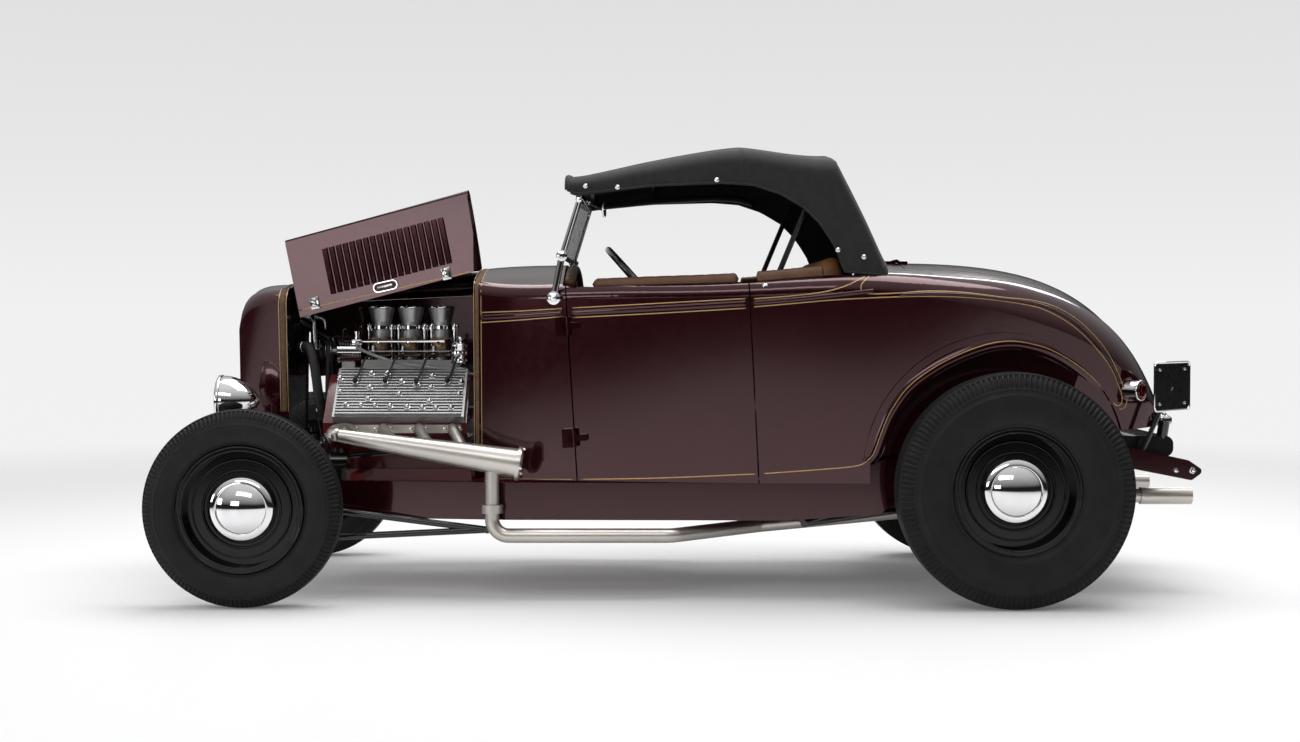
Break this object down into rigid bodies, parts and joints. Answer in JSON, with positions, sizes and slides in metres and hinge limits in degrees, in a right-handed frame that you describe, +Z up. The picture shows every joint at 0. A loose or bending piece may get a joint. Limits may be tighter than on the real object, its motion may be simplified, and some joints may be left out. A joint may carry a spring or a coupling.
{
  "type": "street rod roadster",
  "caption": "Fenderless street rod roadster with open vee engine, louvred folding hood, fabric top and ladder frame; wheels roll and steer, doors, hood and deck lid open",
  "frame": {"origin": "Bottom centre of the bounding box, on the floor between the wheels", "axes": "+X towards the tail, +Y towards the car's right side, +Z up"},
  "size_m": [3.7809, 1.6558, 1.653],
  "materials": {
    "maroon_paint": "deep maroon gloss enamel with clear coat",
    "black_paint": "gloss black enamel",
    "tyre_rubber": "matte black rubber with ribbed shoulders",
    "chrome_plate": "bright chrome plate",
    "polished_aluminium": "polished cast aluminium",
    "engine_red": "dark red engine enamel",
    "nickel_exhaust": "satin nickel, slightly warm",
    "clear_glass": "clear flat glass",
    "lamp_glass": "fluted clear lens",
    "red_lens": "red lens in a chrome rim",
    "tan_leather": "tan pleated leather",
    "black_canvas": "black woven canvas",
    "wheel_rim_plastic": "gloss black rim on steel spokes"
  },
  "bodies": {
    "chassis": {"frame": "maroon_paint", "front_axle": "black_paint", "front_spring": "black_paint", "front_radius_rods": "black_paint", "rear_axle": "black_paint", "rear_spring": "black_paint", "rear_radius_rods": "black_paint", "steering_box": "black_paint", "cowl": "maroon_paint", "floor": "maroon_paint", "rear_body": "maroon_paint", "seat": "tan_leather", "radiator_shell": "maroon_paint", "grille": "chrome_plate", "radiator": "black_paint", "headlamps": "chrome_plate", "headlamp_lenses": "lamp_glass", "hood_hinge": "chrome_plate", "engine_block": "engine_red", "cylinder_heads": "polished_aluminium", "intake": "polished_aluminium", "generator": "polished_aluminium", "fan": "black_paint", "exhaust_headers": "nickel_exhaust", "exhaust_pipes": "nickel_exhaust", "windshield_frame": "chrome_plate", "windshield_glass": "clear_glass", "soft_top": "black_canvas", "top_irons": "black_paint", "fuel_tank": "black_paint", "tail_lamps": "red_lens", "number_plate": "black_paint"},
    "knuckle_left": {"knuckle_left": "black_paint"},
    "wheel_front_left": {"wheel_front_left": "black_paint", "tyre_front_left": "tyre_rubber", "hubcap_front_left": "chrome_plate"},
    "wheel_rear_left": {"wheel_rear_left": "black_paint", "tyre_rear_left": "tyre_rubber", "hubcap_rear_left": "chrome_plate"},
    "door_left": {"door_left": "maroon_paint"},
    "hood_left_top": {"hood_left_top": "maroon_paint"},
    "hood_left_side": {"hood_left_side": "maroon_paint"},
    "knuckle_right": {"knuckle_right": "black_paint"},
    "wheel_front_right": {"wheel_front_right": "black_paint", "tyre_front_right": "tyre_rubber", "hubcap_front_right": "chrome_plate"},
    "wheel_rear_right": {"wheel_rear_right": "black_paint", "tyre_rear_right": "tyre_rubber", "hubcap_rear_right": "chrome_plate"},
    "door_right": {"door_right": "maroon_paint"},
    "hood_right_top": {"hood_right_top": "maroon_paint"},
    "hood_right_side": {"hood_right_side": "maroon_paint"},
    "tie_rod": {"tie_rod": "black_paint"},
    "drag_link": {"drag_link": "black_paint"},
    "pitman_arm": {"pitman_arm": "black_paint"},
    "steering_wheel": {"steering_wheel": "wheel_rim_plastic"},
    "deck_lid": {"deck_lid": "maroon_paint"}
  },
  "joints": [
    {"name": "steer_left", "type": "hinge", "parent": "chassis", "child": "knuckle_left", "pos_m": [-1.5425, -0.6, 0.348], "axis": [0, 0, 1], "range_deg": [-28, 28]},
    {"name": "steer_right", "type": "hinge", "parent": "chassis", "child": "knuckle_right", "pos_m": [-1.5425, 0.6, 0.348], "axis": [0, 0, 1], "range_deg": [-28, 28]},
    {"name": "tie_rod_pivot", "type": "hinge", "parent": "knuckle_left", "child": "tie_rod", "pos_m": [-1.3925, -0.6, 0.262], "axis": [0, 0, 1], "range_deg": [-28, 28]},
    {"name": "drag_link_pivot", "type": "hinge", "parent": "knuckle_right", "child": "drag_link", "pos_m": [-1.3925, 0.6, 0.3], "axis": [0, 0, 1], "range_deg": [-28, 28]},
    {"name": "pitman_pivot", "type": "hinge", "parent": "chassis", "child": "pitman_arm", "pos_m": [-1.3925, -0.24, 0.4753], "axis": [1, 0, 0], "range_deg": [-28, 28]},
    {"name": "steering_wheel_turn", "type": "hinge", "parent": "chassis", "child": "steering_wheel", "pos_m": [-0.1495, -0.312, 1.125], "axis": [0.7458, 0.0068, 0.6661], "range_deg": [-224, 224]},
    {"name": "spin_front_left", "type": "hinge", "parent": "knuckle_left", "child": "wheel_front_left", "pos_m": [-1.5425, -0.711, 0.348], "axis": [0, 1, 0], "continuous": true},
    {"name": "spin_front_right", "type": "hinge", "parent": "knuckle_right", "child": "wheel_front_right", "pos_m": [-1.5425, 0.711, 0.348], "axis": [0, 1, 0], "continuous": true},
    {"name": "spin_rear_left", "type": "hinge", "parent": "chassis", "child": "wheel_rear_left", "pos_m": [1.1495, -0.725, 0.413], "axis": [0, 1, 0], "continuous": true},
    {"name": "spin_rear_right", "type": "hinge", "parent": "chassis", "child": "wheel_rear_right", "pos_m": [1.1495, 0.725, 0.413], "axis": [0, 1, 0], "continuous": true},
    {"name": "door_left_hinge", "type": "hinge", "parent": "chassis", "child": "door_left", "pos_m": [-0.4036, -0.517, 0.78], "axis": [0.0585, 0, -0.9983], "range_deg": [0, 70]},
    {"name": "door_right_hinge", "type": "hinge", "parent": "chassis", "child": "door_right", "pos_m": [-0.4036, 0.517, 0.78], "axis": [-0.0585, 0, 0.9983], "range_deg": [0, 70]},
    {"name": "deck_lid_hinge", "type": "hinge", "parent": "chassis", "child": "deck_lid", "pos_m": [0.805, 0, 1.2245], "axis": [0, -1, 0], "range_deg": [0, 50]},
    {"name": "hood_left_hinge", "type": "hinge", "parent": "chassis", "child": "hood_left_top", "pos_m": [-1.4745, 0, 1.138], "axis": [0.997, 0, 0.0776], "range_deg": [0, 58]},
    {"name": "hood_left_fold", "type": "hinge", "parent": "hood_left_top", "child": "hood_left_side", "pos_m": [-1.49251, -0.18488, 1.29749], "axis": [0.9598, -0.1381, 0.2442], "range_deg": [-58, 0]},
    {"name": "hood_right_hinge", "type": "hinge", "parent": "chassis", "child": "hood_right_top", "pos_m": [-1.4745, 0, 1.138], "axis": [0.997, 0, 0.0776], "range_deg": [0, 58]},
    {"name": "hood_right_fold", "type": "hinge", "parent": "hood_right_top", "child": "hood_right_side", "pos_m": [-1.4745, 0.234, 1.066], "axis": [0.9751, 0.2165, 0.0483], "range_deg": [-58, 0]}
  ],
  "couplings": [
    {"joint": "steer_right", "follows": "steer_left", "ratio": 1},
    {"joint": "tie_rod_pivot", "follows": "steer_left", "ratio": -1},
    {"joint": "drag_link_pivot", "follows": "steer_left", "ratio": -1},
    {"joint": "pitman_pivot", "follows": "steer_left", "ratio": 1},
    {"joint": "steering_wheel_turn", "follows": "steer_left", "ratio": 8},
    {"joint": "hood_left_fold", "follows": "hood_left_hinge", "ratio": -1},
    {"joint": "hood_right_fold", "follows": "hood_right_hinge", "ratio": -1}
  ]
}
